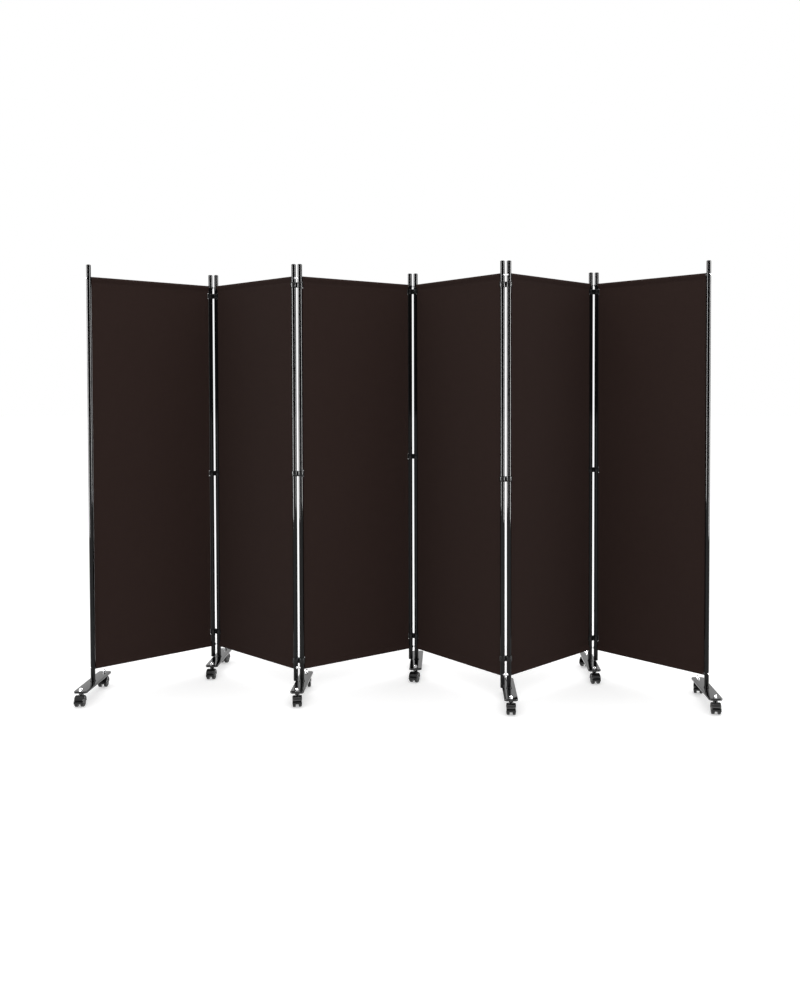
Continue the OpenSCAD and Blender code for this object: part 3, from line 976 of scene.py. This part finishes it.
# feet
footSize = {
    "length": 275 * mm,
    "width": 56 * mm,
    "corner": 12 * mm,
    "sheet": 2.5 * mm,
    "bend": 2.6 * mm,
    "lip": 0.5 * mm,
    "underCorner": ((1.2, 0), (0.3, -0.3), (0, -1.2)),  # pairs, here and below, are steps in mm
    "stemInset": 14.5 * mm,
    "stem": 4.0 * mm,
    "pin": 3.0 * mm,
    "pinLow": 27 * mm,
    "pinEnd": ((-0.4, 0), (0, 0.5)),
    "collar": 7.0 * mm,
    "collarLow": 49.5 * mm,
    "collarSide": ((-0.6, 0), (0, 0.6), (0, 3.5), (-1.2, 4.1)),
    "nutHalf": 6.5 * mm,
    "nutHigh": 6.4 * mm,
    "nutDome": 6.5 * mm,
    # steps from the nut's flats and the plate, then from its flats and top; 1 is a full hexagon
    "washer": ((0.9, 0), (1.1, 0.2), (1.1, 0.9), (0.9, 1.1), (0, 1.1), (0.13, 1.2, 0.4), (0, 1.7, 1)),
    "nutTop": ((0, -0.7, 1), (-0.065, -0.2, 0.35), (-0.39, 0)),
    "nutTurn": (8, 41, 17, 52, 28, 3, 36, 47, 12, 31, 22, 55, 6, 44),  # degrees, one for each nut
}


def plateLoop(length, width, corner, steps=8):
    loop = []
    for sx, sy, start in ((1, 1, 0), (-1, 1, 90), (-1, -1, 180), (1, -1, 270)):
        x, y = sx * (width / 2 - corner), sy * (length / 2 - corner)
        for i in range(steps + 1):
            a = math.radians(start + 90 * i / steps)
            loop.append((x + corner * math.cos(a), y + corner * math.sin(a)))
    return loop


def footPlate():
    # Pressed sheet: rounded shoulders above, a rolled lip below
    f = footSize
    low, top, t, bend, lip = level["skirtLow"], level["footTop"], f["sheet"], f["bend"], f["lip"]
    rows = offRows(t, top - t, f["underCorner"])
    rows += [(t, low + lip), (t - lip, low), (lip, low), (0, low + lip)]
    for a in np.linspace(0, math.pi / 2, 6):
        rows.append((bend * (1 - math.cos(a)), top - bend * (1 - math.sin(a))))
    return plateFromRows([plateLoop(f["length"], f["width"], f["corner"])], rows)


def stemPart():
    # Pin in the housing, flanged collar under the sheet, thread up into the nut
    f = footSize
    pin, pinLow, stem, collar, low = f["pin"], f["pinLow"], f["stem"], f["collar"], f["collarLow"]
    sheetLow, top = level["footTop"] - f["sheet"], level["footTop"] + f["nutHigh"]
    rows = [(0, pinLow), *offRows(pin, pinLow, f["pinEnd"]), (pin, low)]
    rows += offRows(collar, low, f["collarSide"])
    rows += [(rows[-1][0], sheetLow), (stem, sheetLow), (stem, top), (0, top + 1 * mm)]
    return turned(rows, 36)


def nutPart():
    # Domed nut on a thin washer
    f = footSize
    half, high = f["nutHalf"], f["nutHigh"]
    rows = [(0, 0), *offRows(half, 0, f["washer"]), *offRows(half, high, f["nutTop"])]
    return turned(rows + arcRows(half * 0.9, high + 0.05 * mm, high + f["nutDome"], 9))


for n in range(1, 8):
    matrix = footFrame(n)
    plate = makePiece(f"foot_plate_{n}", placed(footPlate(), matrix), footPaint)
    stems, nuts = [], []
    for side in (-1, 1):
        y = side * (footSize["length"] / 2 - footSize["stemInset"])
        stems.append(placed(stemPart(), matrix @ Matrix.Translation((0, y, 0))))
        turn = math.radians(footSize["nutTurn"][2 * (n - 1) + (side > 0)])
        place = matrix @ Vector((0, y, level["footTop"]))
        nuts.append((place, (0, 0, 1), (math.cos(turn), math.sin(turn), 0)))
    stemPiece = makePiece(f"stems_{n}", joined(stems), dullSteel)
    nutPiece = repeated(f"dome_nuts_{n}", nutPart(), nuts, plated)
    for piece, name in ((plate, "feet"), (stemPiece, "fittings"), (nutPiece, "fittings")):
        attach(piece, f"foot_{n}")
        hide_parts(f"foot_{n}")
print("feet set")


# casters
caster = {
    "trail": 15 * mm,
    "axleHigh": 21 * mm,
    "hoodRadius": 25.5 * mm,
    "wellRadius": 22.3 * mm,
    "ribHalf": 4.9 * mm,
    "hoodHalf": 19.5 * mm,
    "hoodSweep": (-7, 187),  # degrees round the axle
    "shoulder": 3.6 * mm,
    "lip": 0.5 * mm,
    "neck": 9 * mm,
    "neckLow": 36 * mm,
    "neckFoot": ((3.2, 0), (3, 3.5), (1.6, 6.5), (0.4, 9), (0, 10.5)),  # pairs are steps in mm
    "neckTop": 49 * mm,
    "neckEdge": ((0, -0.8), (-0.8, 0)),
    "neckBore": ((3.4, 0), (3.1, -1), (0, -1.4)),
    "hub": 8.5 * mm,
    "axle": 2.5 * mm,
    "axleEdge": 0.6 * mm,
    "axleSunk": 1.2 * mm,
    "play": 0.05 * mm,
    "wellCorner": ((-1.6, 0), (-0.4, -0.5), (0, -1.7)),
}
# The profiles are steps in mm: radius from the tread, or from the axis in the face, then width
wheel = {
    "radius": 21 * mm,
    "inner": 5.6 * mm,
    "outer": 18.8 * mm,
    "innerTread": ((-3, 0), (-1.6, 0.2), (-0.5, 1.3), (-0.1, 3.2), (0, 5.2)),
    "outerTread": ((0, -5.4), (-0.15, -3.3), (-0.7, -1.6), (-1.7, -0.5), (-3, -0.05), (-4.6, 0)),
    "rim": ((-5.2, -0.3), (-5.7, -1.3)),
    "face": ((10, -1.5), (8.2, -1.5), (7.7, -1.3), (7.3, -0.3), (6.7, 0), (4, 0.1)),
    "spokes": 8,
    "spokeLength": 6 * mm,
    "spokeWidth": 1.6 * mm,
    "spokeMiddle": 11.7 * mm,
    "spokeSpan": (-0.3 * mm, 1.0 * mm),
    "spokeEdge": 0.35 * mm,
    "faceDepth": 1.5 * mm,
}
aboutAxle = Matrix.Translation((caster["trail"], 0, caster["axleHigh"]))
axleTurn = Matrix.Rotation(-math.pi / 2, 4, "X")


def hoodSection():
    # (place across the caster, radius from the axle): over the outside, then back through both wells
    outer, well, lip = caster["hoodRadius"], caster["wellRadius"], caster["lip"]
    half, rib, s = caster["hoodHalf"], caster["ribHalf"], caster["shoulder"]
    upper = [(half, well + lip), (half, outer - s)]
    for a in np.linspace(0, math.pi / 2, 6)[1:]:
        upper.append((half - s + s * math.cos(a), outer - s + s * math.sin(a)))
    upper += [(half * 0.4, outer), (rib * 0.5, outer)]
    under = [(-half + lip, well), *offRows(-rib, well, caster["wellCorner"]), (-rib, 1.0 * mm)]
    mirrored = [[(-y, r) for y, r in reversed(side)] for side in (upper, under)]
    return upper + mirrored[0] + under + mirrored[1]


def hoodPart():
    # The hood's section, swept half round the axle, with the middle wall in one piece with it
    section, middle, high = hoodSection(), caster["trail"], caster["axleHigh"]
    points, rings = [], []
    for a in np.linspace(*(math.radians(end) for end in caster["hoodSweep"]), 41):
        rings.append(list(range(len(points), len(points) + len(section))))
        points += [(middle + r * math.cos(a), y, high + r * math.sin(a)) for y, r in section]
    faces = bands(rings)
    flat = [Vector((y, r, 0)) for y, r in section]
    for ring, flip in ((rings[0], False), (rings[-1], True)):
        for tri in tessellate_polygon([flat]):
            faces.append(tuple(ring[i] for i in (tri if flip else tri[::-1])))
    return points, faces


def neckPart():
    r, low, top = caster["neck"], caster["neckLow"], caster["neckTop"]
    rows = [(0, low), *offRows(r, low, caster["neckFoot"]), *offRows(r, top, caster["neckEdge"])]
    return turned(rows + offRows(0, top, caster["neckBore"]))


def hubPart():
    rib = caster["ribHalf"]
    hub = ringPart(caster["axle"] + caster["play"], caster["hub"], -rib, rib, 0.5 * mm)
    return placed(hub, aboutAxle @ axleTurn)


def wheelPart():
    # One wheel with its axis along Z: crowned tread, recessed face with a raised hub
    w, bore = wheel, caster["axle"]
    rows = [(bore + caster["play"], w["inner"]), *offRows(w["radius"], w["inner"], w["innerTread"])]
    rows += offRows(w["radius"], w["outer"], (*w["outerTread"], *w["rim"]))
    rows += offRows(0, w["outer"], w["face"]) + offRows(bore, w["outer"], ((0.5, 0), (0.05, -0.4)))
    return turned(rows, 64)


def spokePart():
    # A low rib on the wheel's face
    x, y = wheel["spokeLength"] / 2, wheel["spokeWidth"] / 2
    loop = [(-x, -y), (x, -y), (x, y), (-x, y)]
    return roundedSlab([loop], *wheel["spokeSpan"], wheel["spokeEdge"], 2)


def wheelPair():
    parts = [wheelPart()]
    spot = Matrix.Translation((wheel["spokeMiddle"], 0, wheel["outer"] - wheel["faceDepth"]))
    for i in range(wheel["spokes"]):
        turn = Matrix.Rotation(2 * math.pi * i / wheel["spokes"], 4, "Z")
        parts.append(placed(spokePart(), turn @ spot))
    one = joined(parts)
    return joined([placed(one, axleTurn), placed(one, axleTurn.inverted())])


def axlePart():
    r, end, edge = caster["axle"], wheel["outer"] - caster["axleSunk"], caster["axleEdge"]
    rows = [(0, -end), (r - edge, -end), (r, -end + edge), (r, end - edge), (r - edge, end), (0, end)]
    return placed(turned(rows, 32), aboutAxle @ axleTurn)


for side in ("front", "rear"):
    for n in range(1, 8):
        matrix = casterFrame(side, n)
        housing = joined([hoodPart(), neckPart(), hubPart()])
        hood = makePiece(f"{side}_hood_{n}", placed(housing, matrix), hoodPlastic)
        axle = makePiece(f"{side}_axle_{n}", placed(axlePart(), matrix), dullSteel)
        pair = makePiece(f"{side}_wheel_pair_{n}", placed(wheelPair(), matrix @ aboutAxle), wheelPlastic)
        for piece, body, name in (
            (hood, f"{side}_caster_{n}", "casters"),
            (axle, f"{side}_caster_{n}", "fittings"),
            (pair, f"{side}_wheels_{n}", "wheels"),
        ):
            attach(piece, body)
            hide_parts(body)
print("casters under")


# floor, light, camera
studio = {
    "floorColor": (0.86, 0.86, 0.86),
    "floorGlow": (0.42, 0.25),  # at the screen and far from it
    "glowReach": (1.1, 2.8),
    "skyDiffuse": 0.92,
    "frontDim": 0.05,  # how bright the room behind the camera looks in the gloss paint
    "key": {"place": (0.4, -4.8, 4.0), "aim": (0, 0, 0.9), "size": (4.0, 1.6), "power": 48},
    "top": {"place": (0, 0.4, 4.2), "aim": (0, 0, 0), "size": (3.5, 2.0), "power": 36},
    # the strips show only in gloss, as thin lights along the tubes; the left one mirrors this right one
    "stripPlace": (4.7, -1.7, 1.6),
    "strip": {"size": (1.7, 3.0), "power": 660},
    "halfFloor": 40.0,
    "dimFront": (0.0, -0.55),  # where a ray's Y and Z make it see the dim room
    "dimLow": (0.75, 0.35),
}


def studioFloor():
    size = studio["halfFloor"]
    corners = [(-size, -size, 0), (size, -size, 0), (size, size, 0), (-size, size, 0)]
    r = Recipe("studioFloor")
    floor = makePiece("studioFloor", (corners, [(0, 1, 2, 3)]), r.material)
    away = r.node("ShaderNodeVectorMath", {0: r.place}, operation="LENGTH").outputs["Value"]
    glow = r.spread(away, *studio["floorGlow"], *studio["glowReach"], "SMOOTHSTEP")
    diffuse = r.node("ShaderNodeBsdfDiffuse", {"Color": studio["floorColor"]})
    light = r.node("ShaderNodeEmission", {"Strength": r.math("MULTIPLY", r.rays()[2], glow)})
    both = r.node("ShaderNodeAddShader", {0: diffuse.outputs[0], 1: light.outputs[0]})
    r.feed(r.tree.nodes["Material Output"].inputs["Surface"], both.outputs[0])


def studioWorld():
    # White to the eye; in gloss paint the low part of the room behind the camera is dark
    scene.world = bpy.data.worlds.new("studioWorld")
    scene.world.use_nodes = True
    w = NodeWork(scene.world.node_tree)
    way = w.node("ShaderNodeSeparateXYZ", {0: w.node("ShaderNodeTexCoord").outputs["Generated"]}).outputs
    front = w.spread(way[1], 0.0, 1.0, *studio["dimFront"], "SMOOTHSTEP")
    lowDown = w.spread(way[2], 0.0, 1.0, *studio["dimLow"], "SMOOTHSTEP")
    dark = w.math("MULTIPLY", front, lowDown)
    mirrored = w.math("SUBTRACT", 1.0, w.math("MULTIPLY", dark, 1.0 - studio["frontDim"]))
    eye, gloss, sharp = w.rays()
    seen = w.math("MULTIPLY_ADD", gloss, mirrored, eye)
    rest = w.math("SUBTRACT", 1.0, sharp)
    background = w.tree.nodes["Background"].inputs
    w.feed(background["Strength"], w.math("MULTIPLY_ADD", rest, studio["skyDiffuse"], seen))
    w.feed(background["Color"], (1, 1, 1))


def softLamp(name, place, aim, size, power):
    lamp = bpy.data.lights.new(name, "AREA")
    lamp.shape = "RECTANGLE"
    lamp.size, lamp.size_y = size
    lamp.energy = power
    holder = inScene(name, lamp)
    holder.location = place
    holder.rotation_euler = (Vector(aim) - Vector(place)).to_track_quat("-Z", "Y").to_euler()
    holder.visible_camera = False
    return holder


view = {
    "fromFirstPost": (1.51835, -3.76341),
    "height": 1.29297,
    "pitchDown": 1.394,
    "tilt": 0.083,
    "lens": 32.0545,
    "shift": (-0.04916, -0.0873),
    "sensor": 36,
    "clipEnd": 200,
}


def photoCamera():
    data = bpy.data.cameras.new("photoCamera")
    data.sensor_fit = "AUTO"
    data.sensor_width = view["sensor"]
    data.lens = view["lens"]
    data.shift_x, data.shift_y = view["shift"]
    data.clip_end = view["clipEnd"]
    camera = inScene("photoCamera", data)
    first, away = jointSpot("foot_1_turn"), view["fromFirstPost"]
    camera.location = (first.x + away[0], first.y + away[1], view["height"])
    camera.rotation_euler = (math.radians(90 - view["pitchDown"]), math.radians(view["tilt"]), 0)
    scene.camera = camera


studioFloor()
studioWorld()
for side, name in ((-1, "left"), (1, "right")):
    out, y, z = studio["stripPlace"]
    strip = softLamp(name + "Strip", (side * out, y, z), (0, 0, z), **studio["strip"])
    strip.visible_diffuse = False
softLamp("keyLamp", **studio["key"])
softLamp("topLamp", **studio["top"])
photoCamera()
scene.view_settings.view_transform = "Standard"
print("studio lit")
